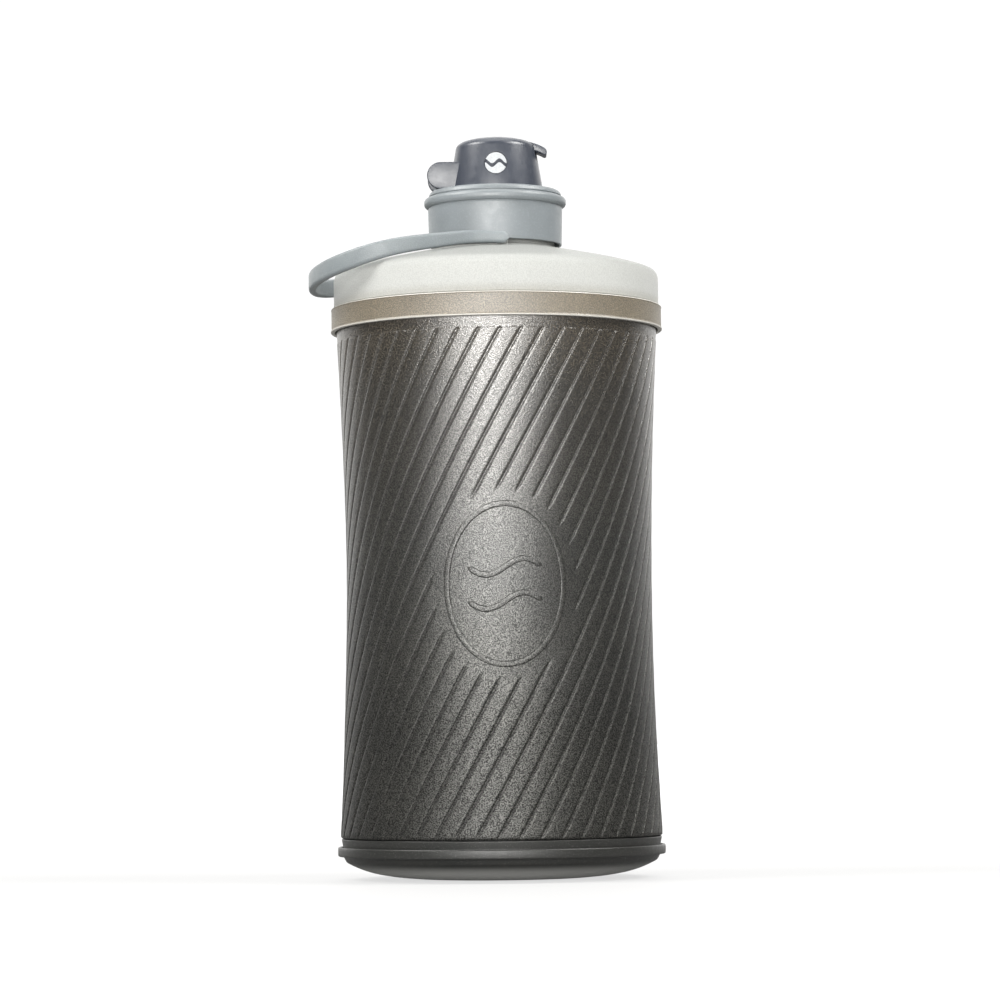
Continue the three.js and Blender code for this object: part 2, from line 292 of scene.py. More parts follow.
def add_softbox(name, place, size, watts):
    data = bpy.data.lights.new(name, "AREA")
    data.shape = "RECTANGLE"
    data.size, data.size_y = size
    data.energy = watts
    data.color = LIGHT_COLOUR
    light = bpy.data.objects.new(name, data)
    bpy.context.scene.collection.objects.link(light)
    light.location = place
    light.rotation_mode = "QUATERNION"
    light.rotation_quaternion = (Vector(LIGHT_AIM) - Vector(place)).to_track_quat("-Z", "Y")


def add_light():
    """Two softboxes in front and three above, in a studio that is dark in front and white behind."""
    for softbox in SOFTBOXES:
        add_softbox(*softbox)
    world = bpy.data.worlds.new("studio")
    bpy.context.scene.world = world
    world.use_nodes = True
    nodes, links = world.node_tree.nodes, world.node_tree.links
    nodes.clear()
    direction = nodes.new("ShaderNodeTexCoord").outputs["Generated"]
    split = nodes.new("ShaderNodeSeparateXYZ")
    behind = nodes.new("ShaderNodeMapRange")
    behind.interpolation_type = "SMOOTHSTEP"
    set_range(behind, *STUDIO_TURN, *STUDIO_STRENGTH)
    surround = nodes.new("ShaderNodeBackground")
    surround.inputs["Color"].default_value = (*STUDIO_COLOUR, 1)
    seen = nodes.new("ShaderNodeBackground")
    seen.inputs["Color"].default_value = (1, 1, 1, 1)
    seen.inputs["Strength"].default_value = STUDIO_SEEN
    path = nodes.new("ShaderNodeLightPath")
    mix = nodes.new("ShaderNodeMixShader")
    out = nodes.new("ShaderNodeOutputWorld")
    links.new(direction, split.inputs[0])
    links.new(split.outputs["Y"], behind.inputs["Value"])
    links.new(behind.outputs["Result"], surround.inputs["Strength"])
    links.new(path.outputs["Is Camera Ray"], mix.inputs["Fac"])
    links.new(surround.outputs[0], mix.inputs[1])
    links.new(seen.outputs[0], mix.inputs[2])
    links.new(mix.outputs[0], out.inputs["Surface"])
    view = bpy.context.scene.view_settings
    view.view_transform = "Standard"
    view.look = "None"


def add_floor():
    """A wide pale floor. Seen directly, it's exposed to white but for the contact shadow."""
    mesh = bpy.data.meshes.new("floor")
    half = FLOOR_HALF
    corners = [(-half, -half, 0), (half, -half, 0), (half, half, 0), (-half, half, 0)]
    mesh.from_pydata(corners, [], [(0, 1, 2, 3)])
    floor = bpy.data.objects.new("floor", mesh)
    bpy.context.scene.collection.objects.link(floor)
    floor.location.z = -FLOOR_DROP
    m = Nodes("floor")
    m.shader.inputs["Base Color"].default_value = (FLOOR_TONE, FLOOR_TONE, FLOOR_TONE, 1)
    m.shader.inputs["Roughness"].default_value = 0.7
    m.shader.inputs["Emission Color"].default_value = (1, 1, 1, 1)
    m.set(specular=0.1)
    distance = m.tree.nodes.new("ShaderNodeVectorMath")
    distance.operation = "LENGTH"
    m.link(m.coords, distance.inputs[0])
    lift = m.spread(distance.outputs["Value"], *FLOOR_FADE, *FLOOR_GLOW)
    seen = m.tree.nodes.new("ShaderNodeLightPath").outputs["Is Camera Ray"]
    m.feed("Emission Strength", m.math("ADD", m.math("MULTIPLY", lift, seen), FLOOR_SPILL))
    mesh.materials.append(m.material)


# ---------------------------------------------------------------- materials


def wall_material():
    """Smoky soft film, sandy to the touch, rougher below. Its tone, warm and lighter near the band and cooler
    below, and its reflections, dimmed below, are painted light for the light that comes in from above.
    """
    m = Nodes("smoky_film")
    height = m.spread(m.axis("Z"), *WALL_SPAN, 0, 1)
    # Painted light: the tone is lighter and warmer towards the band for the light that comes in from above
    # through the clear shoulder.
    stops = [
        (0, (0.017, 0.017, 0.014)), (0.55, (0.020, 0.020, 0.017)),
        (0.85, (0.028, 0.025, 0.020)), (1, (0.050, 0.040, 0.028)),
    ]
    tone = m.ramp(height, stops)
    cloud = m.ramp(m.noise(26, 3), [(0.35, (0.85, 0.85, 0.85)), (0.68, (1.14, 1.13, 1.10))])
    tone = m.mix(1.0, tone, cloud, "MULTIPLY")
    speck = m.noise(*GRAIN)
    grain = m.ramp(speck, [(0.34, (0.4, 0.4, 0.4)), (0.5, (0.95, 0.95, 0.95)), (0.66, (2.4, 2.35, 2.25))])
    tone = m.mix(1.0, tone, grain, "MULTIPLY")
    m.feed("Base Color", tone)
    # The film isn't metal: some Metallic dims its reflections in the dark grains, and low down as painted
    # shade for the light that comes in from above.
    painted_dimming_low = m.spread(height, 0.2, 0.95, 0.48, 0.0)
    m.feed("Metallic", m.math("ADD", painted_dimming_low, m.spread(speck, 0.35, 0.65, 0.4, 0.0)))
    gloss = m.spread(height, 0.1, 0.9, WALL_ROUGH + 0.2, WALL_ROUGH)
    m.feed("Roughness", m.math("ADD", gloss, m.spread(speck, 0.3, 0.7, 0.06, -0.06)))
    m.bumps((m.noise(30, 2, stretch=(1, 1, 0.45)), 0.05, 0.002), (speck, WALL_BUMP, GRAIN_DEPTH))
    m.set(specular=WALL_SPEC, ior=WALL_IOR)
    return m.material


def base_material():
    """The same film moulded thicker: dark, with its underside painted pale for the light from the white floor
    below.
    """
    m = Nodes("smoky_base")
    tone = m.ramp(m.noise(40, 3), [(0.3, (0.014, 0.015, 0.014)), (0.7, (0.022, 0.022, 0.020))])
    # Painted light: the lowest few mm are painted pale for the light from the white floor that shows in the
    # underside.
    tone = m.mix(m.spread(m.axis("Z"), 0.0012, 0.0056, 0.95, 0, True), tone, (0.90, 0.90, 0.87))
    speck = m.noise(2400, 1.5, 0.7)
    tone = m.mix(m.spread(speck, 0.58, 0.75, 0, 0.35), tone, (0.22, 0.22, 0.21))
    m.feed("Base Color", tone)
    m.feed("Roughness", m.spread(m.noise(700, 2), 0.3, 0.7, 0.36, 0.46))
    m.bumps((speck, 0.25, 0.0002))
    m.set(specular=0.7)
    return m.material


def band_material():
    """Beige band, speckled; its top and bottom lip are painted pale, a painted highlight for the light their
    rounded edges catch.
    """
    m = Nodes("beige_band")
    low, high = (corner.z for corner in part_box("weld_band"))
    tone = m.ramp(m.noise(34, 3), [(0.3, (0.135, 0.110, 0.072)), (0.7, (0.180, 0.150, 0.104))])
    speck = m.noise(*GRAIN)
    grain = m.ramp(speck, [(0.34, (0.65, 0.65, 0.65)), (0.5, (1.0, 1.0, 1.0)), (0.66, (1.5, 1.48, 1.42))])
    tone = m.mix(1.0, tone, grain, "MULTIPLY")
    # Painted highlight: each lip is painted pale for the light its rounded edge catches.
    lip_low = m.spread(m.axis("Z"), low + 0.0003, low + 0.0006, 1, 0)
    lip_high = m.spread(m.axis("Z"), high - 0.0004, high - 0.0002, 0, 1)
    painted_lip_highlight = m.math("MAXIMUM", lip_low, lip_high)
    tone = m.mix(painted_lip_highlight, tone, (0.62, 0.60, 0.55))
    m.feed("Base Color", tone)
    m.feed("Roughness", m.spread(speck, 0.3, 0.7, 0.54, 0.42))
    m.bumps((speck, 0.45, GRAIN_DEPTH))
    m.set(specular=1.0, ior=1.75)
    return m.material


def shoulder_material():
    """Frosted clear plastic: pale, faintly green, with painted shade on the deck up to the neck and a painted
    brownish tint near the band for the band seen in the plastic.
    """
    m = Nodes("frosted_clear")
    tone = m.ramp(m.noise(22, 3), [(0.3, (0.60, 0.61, 0.59)), (0.7, (0.65, 0.66, 0.64))])
    # Painted shade: the deck is painted greyer up to the neck for the shade and see-through look of the
    # frosted plastic there.
    tone = m.mix(m.spread(m.axis("Z"), 0.1980, 0.2030, 0, 0.7, True), tone, (0.30, 0.31, 0.30))
    # Painted light: a brownish darkening just above the band stands in for the band seen in the plastic.
    tone = m.mix(m.spread(m.axis("Z"), 0.1900, 0.1935, 0.45, 0, True), tone, (0.40, 0.385, 0.34))
    speck = m.noise(*GRAIN)
    grain = m.ramp(speck, [(0.34, (0.93, 0.93, 0.93)), (0.5, (1.0, 1.0, 1.0)), (0.66, (1.06, 1.06, 1.06))])
    tone = m.mix(1.0, tone, grain, "MULTIPLY")
    m.feed("Base Color", tone)
    m.feed("Roughness", m.spread(speck, 0.3, 0.7, 0.5, 0.36))
    m.bumps((m.noise(45, 2), 0.08, 0.002), (speck, 0.2, GRAIN_DEPTH))
    m.set(specular=0.25, transmission=SHOULDER_CLEAR, ior=1.3)
    return m.material


def plastic_material(name, dark, light, roughness, grain=1500, depth=0.12, gloss=1.5):
    """Moulded plastic: a slow change of tone, a fine grain and uneven gloss."""
    m = Nodes(name)
    tone = m.ramp(m.noise(60, 3), [(0.32, dark), (0.68, light)])
    fine = m.noise(grain, 2, 0.6)
    tone = m.mix(m.spread(fine, 0.5, 0.8, 0, 0.25), tone, tuple(min(1.0, c * 1.5) for c in light))
    m.feed("Base Color", tone)
    m.feed("Roughness", m.spread(m.noise(420, 3), 0.3, 0.7, roughness - 0.05, roughness + 0.06))
    m.bumps((m.noise(150, 2), 0.05, 0.001), (fine, depth, 0.0002))
    m.set(specular=0.6, ior=gloss)
    return m.material


def badge_material():
    """A pale inlay crossed by one dark wave."""
    m = Nodes("badge_inlay")
    across = m.math("SUBTRACT", m.axis("X"), LID_X * MM)
    wave = m.math("MULTIPLY", m.math("SINE", m.math("MULTIPLY", across, BADGE_WAVE)), BADGE_SWING)
    offset = m.math("ABSOLUTE", m.math("SUBTRACT", m.math("SUBTRACT", m.axis("Z"), BADGE_Z * MM), wave))
    line = m.spread(offset, BADGE_LINE, 1.2 * BADGE_LINE, 1, 0)
    pale = m.ramp(m.noise(1500, 2), [(0.3, (0.50, 0.52, 0.54)), (0.7, (0.60, 0.62, 0.64))])
    m.feed("Base Color", m.mix(line, pale, (0.05, 0.055, 0.07)))
    m.feed("Roughness", m.spread(m.noise(500, 2), 0.3, 0.7, 0.24, 0.34))
    m.bumps((m.noise(900, 2), 0.05, 0.0002))
    return m.material


# ---------------------------------------------------------------- shapes


def smoothstep(low, high, value):
    t = np.clip((value - low) / (high - low), 0, 1)
    return t * t * (3 - 2 * t)


def new_piece(name, verts, faces, material, sharp=38):
    """A mesh object from points in mm, shaded smooth but for edges over sharp degrees."""
    mesh = bpy.data.meshes.new(name)
    mesh.from_pydata((np.array(verts, float) * MM).tolist(), [], faces)
    mesh.validate()
    bm = bmesh.new()
    bm.from_mesh(mesh)
    bmesh.ops.recalc_face_normals(bm, faces=bm.faces)
    bm.to_mesh(mesh)
    bm.free()
    piece = bpy.data.objects.new(name, mesh)
    bpy.context.scene.collection.objects.link(piece)
    mesh.materials.append(material)
    smooth(piece, sharp)
    return piece


def smooth(piece, sharp=38):
    piece.data.shade_smooth()
    piece.data.set_sharp_from_angle(angle=math.radians(sharp))


def rounded(corners, steps=5):
    """A closed outline of (x, y, radius) corners with each corner turned into a curve."""
    points = []
    count = len(corners)
    for i, (x, y, radius) in enumerate(corners):
        here = np.array((x, y), float)
        before = np.array(corners[i - 1][:2], float) - here
        after = np.array(corners[(i + 1) % count][:2], float) - here
        if radius <= 0:
            points.append((x, y))
            continue
        reach = min(radius, 0.48 * np.linalg.norm(before), 0.48 * np.linalg.norm(after))
        start = here + before / np.linalg.norm(before) * reach
        end = here + after / np.linalg.norm(after) * reach
        for k in range(steps + 1):
            t = k / steps
            points.append(tuple((1 - t) ** 2 * start + 2 * t * (1 - t) * here + t * t * end))
    return points


def turned(name, corners, material, around=ROUND, x=0.0, sharp=38):
    """Turns a closed outline of (radius, z, rounding) corners about the axis at x."""
    outline = rounded(corners)
    verts, rows = [], []
    for r, z in outline:
        if r < 1e-6:
            rows.append([len(verts)] * around)
            verts.append((x, 0, z))
            continue
        rows.append(range(len(verts), len(verts) + around))
        for k in range(around):
            angle = 2 * math.pi * k / around
            verts.append((x + r * math.cos(angle), r * math.sin(angle), z))
    faces = []
    for i, row in enumerate(rows):
        upper = rows[(i + 1) % len(rows)]
        for k in range(around):
            n = (k + 1) % around
            corners_here = [row[k], row[n], upper[n], upper[k]]
            face = list(dict.fromkeys(corners_here))
            if len(face) > 2:
                faces.append(face)
    return new_piece(name, verts, faces, material, sharp)


def skinned(name, rings, material, closed=False, sharp=38):
    """A skin over rings of equal length, capped at both ends unless it closes on itself."""
    sides = len(rings[0])
    verts = [p for ring in rings for p in ring]
    faces = []
    last = len(rings) if closed else len(rings) - 1
    for i in range(last):
        a, b = i * sides, ((i + 1) % len(rings)) * sides
        for j in range(sides):
            n = (j + 1) % sides
            faces.append((a + j, a + n, b + n, b + j))
    if not closed:
        faces.append(tuple(range(sides)))
        faces.append(tuple(range((len(rings) - 1) * sides, len(rings) * sides)))
    return new_piece(name, verts, faces, material, sharp)


def extruded(name, corners, y_span, material, bevel=0.35, steps=6):
    """An (x, z) outline with rounded corners, pulled along Y and bevelled on its rims."""
    outline = rounded(corners, steps)
    rings = [[(px, y, pz) for px, pz in outline] for y in y_span]
    piece = skinned(name, rings, material)
    if bevel:
        add_bevel(piece, bevel)
    return piece


def add_bevel(piece, width, segments=3, limit=40):
    modifier = piece.modifiers.new("bevel", "BEVEL")
    modifier.width = width * MM
    modifier.segments = segments
    modifier.limit_method = "ANGLE"
    modifier.angle_limit = math.radians(limit)
    settle(piece)


def settle(piece):
    """Applies a piece's modifiers to its mesh."""
    evaluated = piece.evaluated_get(bpy.context.evaluated_depsgraph_get())
    mesh = bpy.data.meshes.new_from_object(evaluated)
    piece.modifiers.clear()
    piece.data = mesh
    smooth(piece)


def combine(piece, other, operation="UNION"):
    """Joins other to piece, or cuts it away, and removes other."""
    modifier = piece.modifiers.new("combine", "BOOLEAN")
    modifier.operation = operation
    modifier.object = other
    modifier.solver = "EXACT"
    settle(piece)
    bpy.data.objects.remove(other)


def disc(name, radius, x, z, y_span, material, around=64, bevel=0.0):
    corners = []
    for k in range(around):
        angle = 2 * math.pi * k / around
        corners.append((x + radius * math.cos(angle), z + radius * math.sin(angle), 0))
    return extruded(name, corners, y_span, material, bevel)


def thread(name, root_r, crest_r, z, turns, material):
    """A helical ridge that fades out at both ends."""
    steps = int(turns * 72)
    rings = []
    for i in range(steps + 1):
        angle = 2 * math.pi * i / 72
        fade = min(1.0, i / 10, (steps - i) / 10)
        crest = root_r + (crest_r - root_r) * (0.05 + 0.95 * math.sin(fade * math.pi / 2))
        level = z + THREAD_PITCH * i / 72
        section = [(root_r, -0.85), (crest, -0.5), (crest, 0.5), (root_r, 0.85)]
        rings.append([(r * math.cos(angle), r * math.sin(angle), level + dz) for r, dz in section])
    return skinned(name, rings, material, sharp=50)


# ---------------------------------------------------------------- wall


def wall_radius(z):
    reach = np.abs(z - WAIST_Z) / WAIST_SPAN
    return np.minimum(WALL_TOP_R, WAIST_R + WAIST_RISE * reach**WAIST_POWER)


def emblem_distance(turn, z, half):
    """Roughly how far, in mm, a point of the wall lies outside an oval round the emblem's middle."""
    across = np.radians((turn - EMBLEM_TURN + 180) % 360 - 180) * WAIST_R
    oval = np.hypot(across / half[0], (z - EMBLEM_Z) / half[1])
    return (oval - 1) * half[0]


def pleat_relief(turn, z, offset, pitch):
    """How far, in mm, the pleated film stands out from the plain wall."""
    groove = 1 - smoothstep(GROOVE_FLAT, GROOVE_REACH, np.abs(offset))
    share = np.clip(np.abs(offset) / (pitch / 2), 0, 1)
    crown = PANEL_CROWN * np.sin(share * math.pi / 2)
    zone = smoothstep(PLEAT_BOTTOM - 0.4, PLEAT_BOTTOM + 0.8, z)
    zone = zone * (1 - smoothstep(PLEAT_TOP - 0.5, PLEAT_TOP, z))
    clear = smoothstep(0, 1.5, emblem_distance(turn, z, EMBLEM_CLEAR))
    swell = 0.05 * np.sin(np.radians(5 * turn) + z / 19) + 0.035 * np.sin(np.radians(9 * turn) - z / 13 + 1.3)
    calm = smoothstep(14, 34, z) * (1 - smoothstep(160, 184, z))
    return zone * (PANEL_RAISE + clear * (crown - GROOVE_DEPTH * groove)) + swell * calm


def make_wall(material):
    """The pleated wall: its columns of points follow the spiral, closely spaced at each groove."""
    low, high = (corner.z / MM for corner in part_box("body_wall"))
    pitch = 2 * math.pi * WAIST_R / PLEATS
    side = np.linspace(GROOVE_FLAT, GROOVE_REACH, 4)
    near = np.concatenate([-side[::-1], [0], side])
    far = np.linspace(GROOVE_REACH, pitch - GROOVE_REACH, 8)[1:-1]
    offsets = np.concatenate([near, far])
    offsets = np.where(offsets > pitch / 2, offsets - pitch, offsets)
    offsets.sort()
    starts = np.arange(PLEATS) * 360 / PLEATS
    columns = (starts[:, None] + offsets[None, :] / pitch * 360 / PLEATS).ravel()
    offset = np.tile(offsets, PLEATS)
    edges = [low, low + 0.35, PLEAT_TOP - 0.5, PLEAT_TOP - 0.25, PLEAT_TOP, PLEAT_TOP + 0.3, high]
    levels = np.unique(np.concatenate([np.linspace(low, high, 150), edges]))
    turn = columns[None, :] + PLEAT_START + PLEAT_LEAN * (levels[:, None] - PLEAT_START_Z)
    z = np.broadcast_to(levels[:, None], turn.shape)
    outer = wall_radius(z) + pleat_relief(turn, z, offset[None, :], pitch)
    outer[0] -= 0.3
    inner = wall_radius(z) - WALL_THICK - 0.1
    angle = np.radians(turn - 90)
    rings = []
    for radius in (outer, inner):
        rings.append(np.stack([radius * np.cos(angle), radius * np.sin(angle), z], axis=-1))
    inside_rows = list(range(0, len(levels), 6))
    if inside_rows[-1] != len(levels) - 1:
        inside_rows.append(len(levels) - 1)
    skin = [*rings[0], *[rings[1][i] for i in reversed(inside_rows)]]
    wall = skinned("wall", skin, material, closed=True, sharp=60)
    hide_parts("body_wall")
    fold(wall)


def fold(piece):
    """Hangs the piece, a part of the wall, on the base's body and gives it a mesh of its own."""
    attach(piece, "base")
    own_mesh(piece)


def wall_line(name, path, closed, material):
    """A raised line on the wall, along (across, z) points in mm from the emblem's middle."""
    path = np.array(path, float)
    if closed:
        ahead, behind = np.roll(path, -1, axis=0), np.roll(path, 1, axis=0)
    else:
        ahead, behind = np.vstack([path[1:], path[-1:]]), np.vstack([path[:1], path[:-1]])
    along = ahead - behind
    along /= np.linalg.norm(along, axis=1)[:, None]
    sideways = np.stack([-along[:, 1], along[:, 0]], axis=1)
    half = EMBLEM_LINE / 2
    section = [
        (-half - 0.12, -0.5), (-half - 0.05, 0.02),
        (-half + 0.12, EMBLEM_HEIGHT - 0.05), (-half + 0.28, EMBLEM_HEIGHT),
        (half - 0.28, EMBLEM_HEIGHT), (half - 0.12, EMBLEM_HEIGHT - 0.05),
        (half + 0.05, 0.02), (half + 0.12, -0.5),
    ]
    rings = []
    for i, (point, side) in enumerate(zip(path, sideways)):
        end = 1.0 if closed else math.sin(min(1.0, min(i, len(path) - 1 - i) / 5) * math.pi / 2)
        ring = []
        for out, up in section:
            across, rise = point + side * out * max(end, 0.15)
            z = EMBLEM_Z + rise
            radius = wall_radius(z) + up * (end if up > 0 else 1)
            angle = math.radians(EMBLEM_TURN - 90) + across / WAIST_R
            ring.append((radius * math.cos(angle), radius * math.sin(angle), z))
        rings.append(ring)
    line = skinned(name, rings, material, closed=closed, sharp=60)
    fold(line)


def make_emblem(material):
    wide, tall = EMBLEM_HALF
    angles = np.linspace(0, 2 * math.pi, 181)[:-1]
    wall_line("emblem_ring", [(wide * math.cos(a), tall * math.sin(a)) for a in angles], True, material)
    for name, level in (("emblem_wave_upper", WAVE_LEVEL), ("emblem_wave_lower", -WAVE_LEVEL)):
        across = np.linspace(-WAVE_REACH, WAVE_REACH, 81)
        wave = [(a, level + WAVE_RISE * math.sin(a * math.pi / WAVE_REACH)) for a in across]
        wall_line(name, wave, False, material)


# ---------------------------------------------------------------- base, band and top


def make_base(material):
    low, high = (corner.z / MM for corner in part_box("base_pan"))
    r = 53.2
    corners = [
        (0, 0, 0), (28, 0, 2), (36, 0.7, 3), (42.5, 1.9, 3), (46.3, 3.1, 2), (49.3, 4.4, 2),
        (51.6, 5.6, 1.2), (52.3, 7.0, 0.7), (r - 0.5, 7.6, 0.5), (r - 0.5, 10.9, 0.3), (r, 13.4, 0.4),
        (51.6, 13.4, 0.2), (51.6, high, 0.4),
        (50.4, high, 0.4), (50.4, 8.4, 1.5), (48.4, 6.4, 1.5), (42, 3.9, 3), (28, 2.0, 4), (0, 2.0, 0),
    ]
    pan = turned("base_moulding", corners, material)
    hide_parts("base_pan")
    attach(pan, "base")

    (_, _, low), (outer, _, high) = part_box("foot_ring")
    low, high, outer = low / MM, high / MM, outer / MM
    inner = r + 0.1
    corners = [
        (inner, low, 0.2), (outer - 0.1, low, 0.9), (outer, (low + high) / 2, 1.2),
        (outer - 0.1, high, 0.7), (inner, high, 0.2),
    ]
    foot = turned("foot_moulding", corners, material)
    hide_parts("foot_ring")
    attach(foot, "base")


def make_band(material):
    (_, _, low), (outer, _, high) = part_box("weld_band")
    low, high, outer = low / MM, high / MM, outer / MM
    inner = outer - 1.3
    corners = [
        (inner, low, 0.2), (outer + 0.15, low, 0.3), (outer + 0.15, low + 0.55, 0.25),
        (outer - 0.1, low + 0.75, 0.25), (outer - 0.1, high - 0.6, 0.3), (outer + 0.05, high - 0.4, 0.2),
        (outer - 0.2, high, 0.3), (inner, high, 0.2),
    ]
    band = turned("band_moulding", corners, material)
    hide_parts("weld_band")
    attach(band, "band")


def make_shoulder(material):
    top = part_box("shoulder")[1].z / MM
    side, thick, neck = 54.3, 1.8, 19.7
    corners = [
        (53.5, 185.8, 0.2), (53.5, 189.8, 0.1), (side, 189.8, 0.25), (side, 199.3, 1.2), (53.7, 200.9, 1.0),
        (52.4, 201.8, 1.2), (49.4, 202.8, 2), (43.5, 204.4, 4), (30, 207.4, 4), (21.6, 209.0, 1.0),
        (20.4, 209.6, 0.6), (neck, 210.6, 0.8), (neck, top - 0.1, 0.5), (18, top, 0.4), (18, 208.2, 1.5),
        (30, 205.6, 4), (43.5, 202.6, 4), (48.6, 201.2, 2), (51.4, 200.1, 1.5), (side - thick, 198.6, 1),
        (side - thick, 190.6, 1),
        (52.2, 189.2, 0.5), (52.2, 185.8, 0.2),
    ]
    shell = turned("top_moulding", corners, material, sharp=50)
    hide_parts("shoulder")
    pieces = [shell, thread("neck_thread", neck - 0.2, 20.8, THREAD_Z, 2, material)]
    x, z = PEG
    for name, sign in (("lug_front", -1), ("lug_rear", 1)):
        outline = [(x - 1.9, 207.9, 0), (x + 1.6, 207.9, 0), (x + 1.6, z + 1.7, 1.4), (x - 1.9, z + 1.7, 1.4)]
        pieces.append(extruded(name, outline, sorted((sign * 23.3, sign * 24.9)), material, 0.3))
    for piece in pieces:
        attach(piece, "top")


# ---------------------------------------------------------------- strap


def spline(points, count):
    """A centripetal Catmull-Rom curve through the points, cut into equal lengths."""
    points = np.array(points, float)
    points = np.vstack([2 * points[0] - points[1], points, 2 * points[-1] - points[-2]])
    fine = []
    for p0, p1, p2, p3 in zip(points, points[1:], points[2:], points[3:]):
        knots = np.cumsum([0, *[np.linalg.norm(b - a) ** 0.5 for a, b in ((p0, p1), (p1, p2), (p2, p3))]])
        for t in np.linspace(knots[1], knots[2], 24, endpoint=False):
            a1 = blend_at(p0, p1, knots[0], knots[1], t)
            a2 = blend_at(p1, p2, knots[1], knots[2], t)
            a3 = blend_at(p2, p3, knots[2], knots[3], t)
            b1 = blend_at(a1, a2, knots[0], knots[2], t)
            b2 = blend_at(a2, a3, knots[1], knots[3], t)
            fine.append(blend_at(b1, b2, knots[1], knots[2], t))
    fine = np.array([*fine, points[-2]])
    length = np.concatenate([[0], np.cumsum(np.linalg.norm(np.diff(fine, axis=0), axis=1))])
    wanted = np.linspace(0, length[-1], count)
    return np.stack([np.interp(wanted, length, fine[:, k]) for k in range(3)], axis=1)


def blend_at(a, b, start, end, t):
    return (a * (end - t) + b * (t - start)) / (end - start)


def strap_height(x):
    arm = np.interp(-x, [0, 45], [3.9, 6.3])
    tip = np.clip((PEG[0] + 1.9 - x) / 1.9, 0, 1)
    return arm * math.sqrt(max(0.02, 1 - (1 - tip) ** 2))


def make_strap(material):
    """A soft band with rounded edges, bent into a loop."""
    front = [(x, -y, z) for x, y, z in STRAP_ROUTE]
    route = spline(front + STRAP_ROUTE[-2::-1], STRAP_STEPS)
    along = np.gradient(route, axis=0)
    along[:, 2] = 0
    along /= np.linalg.norm(along, axis=1)[:, None]
    half = STRAP_THICK / 2
    rings = []
    for (x, y, z), (ax, ay, _) in zip(route, along):
        tall = strap_height(x) / 2
        soft = min(1.25, tall * 0.8)
        corners = [(half, -tall, soft), (half, tall, soft), (-half, tall, soft), (-half, -tall, soft)]
        outline = rounded(corners, 4)
        rings.append([(x + ay * out, y - ax * out, z + up) for out, up in outline])
    strap = skinned("strap_band", rings, material, sharp=60)
    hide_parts("carry_strap")
    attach(strap, "strap")


# ---------------------------------------------------------------- cap and lid


def make_cap(material):
    low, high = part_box("cap_shell")[0].z / MM, DECK_TOP
    inner = 21.2
    corners = [
        (8.5, high - 1.4, 0.2), (inner, high - 1.4, 0.8), (inner, low + 0.4, 0.3), (inner + 0.3, low, 0.2),
        (22.2, low, 0.35), (22.5, high - 6.0, 0.3), (22.35, high - 5.5, 0.15), (23.1, high - 5.4, 0.4),
        (23.8, high - 4.6, 0.9), (23.8, high - 3.1, 1.1), (23.0, high - 2.25, 0.5), (22.0, high - 2.2, 0.1),
        (21.95, high - 1.85, 0.1), (22.25, high - 1.7, 0.25), (21.9, high - 0.6, 0.7), (21.0, high, 0.8),
        (8.5, high, 0.3),
    ]
    shell = turned("cap_moulding", corners, material, sharp=30)
    x, z = HINGE
    span = (-EAR_Y[0] + 0.3, EAR_Y[0] - 0.3)
    low, high, r = DECK_TOP - 0.6, z + KNUCKLE_R, KNUCKLE_R
    outline = [(x - r, low, 0), (x + r, low, 0), (x + r, high, r), (x - r, high, r)]
    post = extruded("cap_knuckle", outline, span, material, 0.3)
    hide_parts("cap_shell")
    ridge = thread("cap_thread", inner + 0.2, 20.1, THREAD_Z + THREAD_PITCH / 2, 1.5, material)
    for piece in (shell, post, ridge):
        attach(piece, "cap")


def make_spout(material):
    low, high = (corner.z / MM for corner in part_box("drinking_spout"))
    bore, outer = 6.3, 8.2
    corners = [
        (bore, low, 0.3), (10, low, 0.4), (10, low + 1, 0.2), (outer, low + 1, 0), (outer, DECK_TOP + 0.2, 0),
        (10.5, DECK_TOP + 0.2, 0.2), (10.5, DECK_TOP + 1, 0.4), (outer, DECK_TOP + 1.6, 0.8),
        (outer, high - 2.1, 0.8), (outer + 0.35, high - 1.1, 0.8),
        (outer - 0.3, high, 0.6), (bore + 0.5, high, 0.6), (bore, high - 0.9, 0.6),
    ]
    spout = turned("spout_moulding", corners, material, ROUND_SMALL, LID_X)
    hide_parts("drinking_spout")
    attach(spout, "cap")


def lid_cone(offset, material):
    """A solid cone that follows the lid's side, moved outwards by offset."""
    (low, high), (bottom, top) = LID_Z, LID_R
    corners = [(0, low, 0), (bottom + offset, low, 0), (top + offset, high, 0), (0, high, 0)]
    return turned("cone", corners, material, ROUND_SMALL, LID_X)


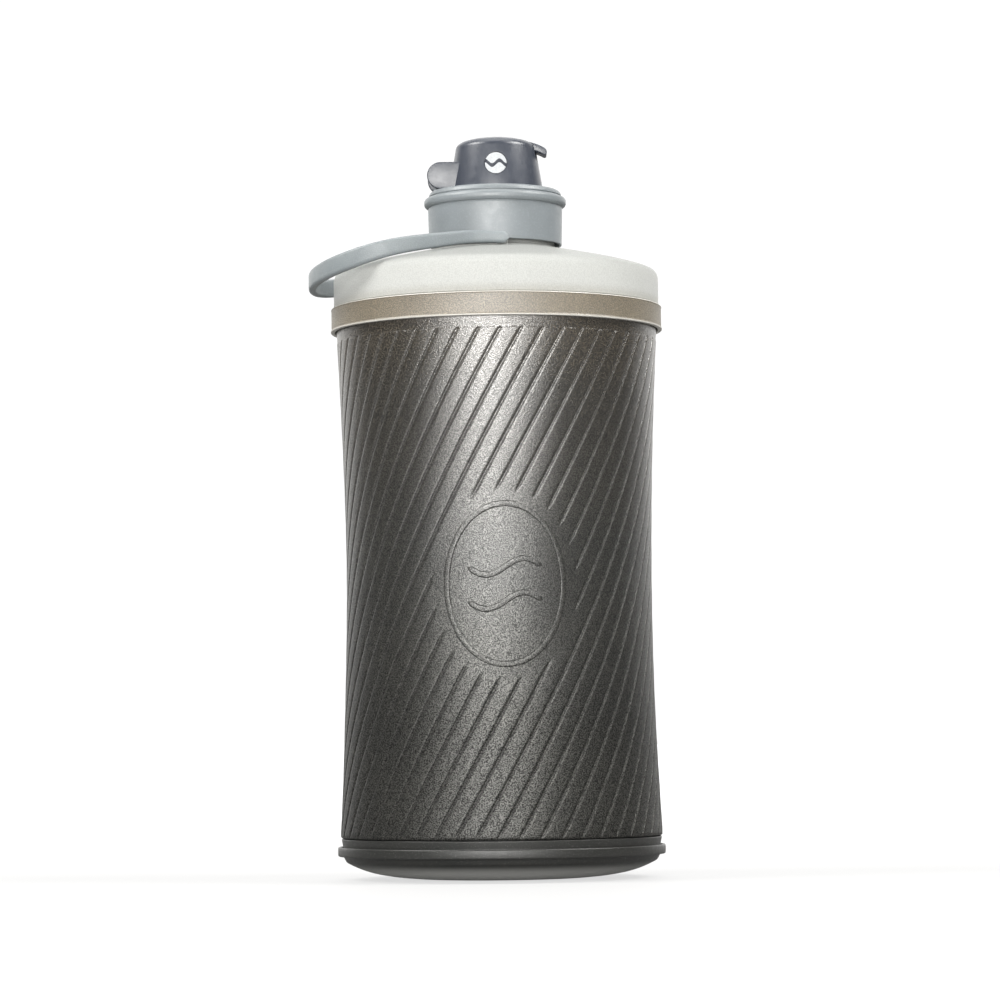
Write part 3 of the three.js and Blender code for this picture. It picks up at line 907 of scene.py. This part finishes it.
def make_lid(material):
    (low, side_top), high = LID_Z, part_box("flip_lid")[1].z / MM + 0.9
    corners = [
        (LID_R[0] - 1.6, low, 0.2), (LID_R[0], low, 0.35), (LID_R[1], side_top + 0.3, 0.9),
        (LID_R[1] - 1.6, high - 1.5, 1.0), (7.5, high - 0.35, 3), (0, high, 0), (0, high - 2.4, 0),
        (8, high - 2.8, 1), (LID_R[1] - 2.6, side_top - 0.2, 1), (LID_R[1] - 1.5, side_top - 1.2, 0.6),
    ]
    lid = turned("lid_moulding", corners, material, ROUND_SMALL, LID_X)
    recess = disc("recess", BADGE_R + 0.25, LID_X, BADGE_Z, (-20, -10), material)
    combine(recess, lid_cone(-0.5, material), "DIFFERENCE")
    combine(lid, recess, "DIFFERENCE")
    x, z = HINGE
    for sign in (-1, 1):
        turns = np.linspace(math.pi / 2, 1.5 * math.pi, 25)
        outline = [(x + EAR_R * math.cos(a), z + EAR_R * math.sin(a), 0) for a in turns]
        outline += [(-11.2, z - EAR_R, 0), (-11.2, z + EAR_R, 0)]
        ear = extruded("ear", outline, sorted(sign * y for y in EAR_Y), material, 0.35)
        combine(lid, ear)
    outline = [
        (11.0, 242.5, 0), (13.6, 242.3, 0.6), (15.6, 241.5, 0.5), (16.6, 240.9, 0.4), (17.4, 241.0, 0.5),
        (17.6, 242.1, 0.5), (17.2, 243.2, 0.7), (15.0, 244.4, 1.5), (13.0, 245.1, 1.0), (11.0, 245.7, 0),
    ]
    combine(lid, extruded("tab", outline, (-TAB_HALF_WIDTH, TAB_HALF_WIDTH), material, 0.5))
    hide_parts("flip_lid")
    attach(lid, "lid")


def make_badge(material):
    """A disc cut to the lid's curve, standing a hair proud."""
    piece = disc("badge_inlay", BADGE_R, LID_X, BADGE_Z, (-20, -10), material)
    combine(piece, lid_cone(0.05, material), "INTERSECT")
    combine(piece, lid_cone(-0.45, material), "DIFFERENCE")
    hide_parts("lid_badge")
    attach(piece, "lid")


def make_plug(material):
    low, high = (corner.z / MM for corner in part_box("lid_plug"))
    corners = [
        (0, low, 0), (5.0, low, 0.8), (5.9, low + 1.8, 0.5), (7.2, low + 2.1, 0.4), (7.2, low + 3.9, 0.3),
        (9, low + 4.1, 0.4), (9, high + 0.1, 0.3), (0, high + 0.2, 0),
    ]
    plug = turned("plug_moulding", corners, material, ROUND_SMALL, LID_X)
    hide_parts("lid_plug")
    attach(plug, "lid")


def dress_cad(names, material):
    """Small CAD pieces keep their shape, and get a material and have their split points welded."""
    for name in names:
        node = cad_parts[name]
        node.data.materials.clear()
        node.data.materials.append(material)
        modifier = node.modifiers.new("weld", "WELD")
        modifier.merge_threshold = 0.01 * MM


add_camera()
add_light()
add_floor()
wall_look = wall_material()
base_look = base_material()
cap_look = plastic_material(
    "light_grey_plastic", (0.20, 0.222, 0.235), (0.235, 0.260, 0.278), 0.43, gloss=1.65
)
strap_look = plastic_material(
    "grey_strap", (0.20, 0.225, 0.238), (0.25, 0.277, 0.29), 0.42, 2300, 0.5
)
lid_look = plastic_material(
    "slate_plastic", (0.042, 0.049, 0.066), (0.054, 0.062, 0.082), 0.34, gloss=1.65
)
silicone_look = plastic_material(
    "pale_silicone", (0.55, 0.57, 0.58), (0.64, 0.66, 0.67), 0.5
)
make_wall(wall_look)
make_emblem(wall_look)
make_base(base_look)
make_band(band_material())
make_shoulder(shoulder_material())
make_strap(strap_look)
make_cap(cap_look)
make_spout(cap_look)
make_lid(lid_look)
make_badge(badge_material())
make_plug(silicone_look)
dress_cad(["strap_peg_front", "strap_peg_rear"], strap_look)
dress_cad(["hinge_pin"], cap_look)
dress_cad(["cap_gasket", "spout_seal"], silicone_look)
